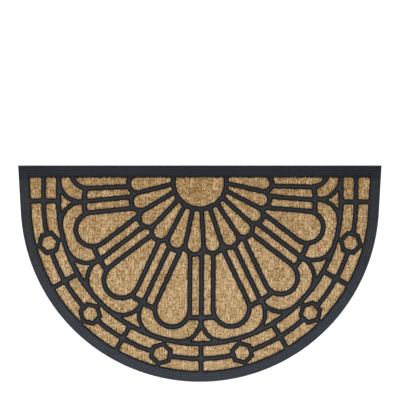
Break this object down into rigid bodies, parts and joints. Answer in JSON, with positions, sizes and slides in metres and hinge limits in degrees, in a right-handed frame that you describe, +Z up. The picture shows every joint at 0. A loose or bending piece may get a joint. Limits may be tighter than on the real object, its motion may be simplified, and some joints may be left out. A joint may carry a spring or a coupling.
{
  "type": "doormat",
  "caption": "Half-moon doormat: a black rubber moulding with a ribbed border and raised rosette tracery over a basket-woven coir panel.",
  "frame": {"origin": "on the floor, under the middle of the mat's bounding box", "axes": "+X along the straight edge, +Y towards the straight edge, +Z up out of the mat's face"},
  "size_m": [0.75, 0.4466, 0.009],
  "materials": {
    "black_rubber": "matt moulded rubber, faintly dusty",
    "woven_coir": "natural brown coir yarn in a basket weave, rough and fibrous"
  },
  "bodies": {
    "root": {"rubber_moulding": "black_rubber", "coir_panel": "woven_coir"}
  },
  "joints": []
}
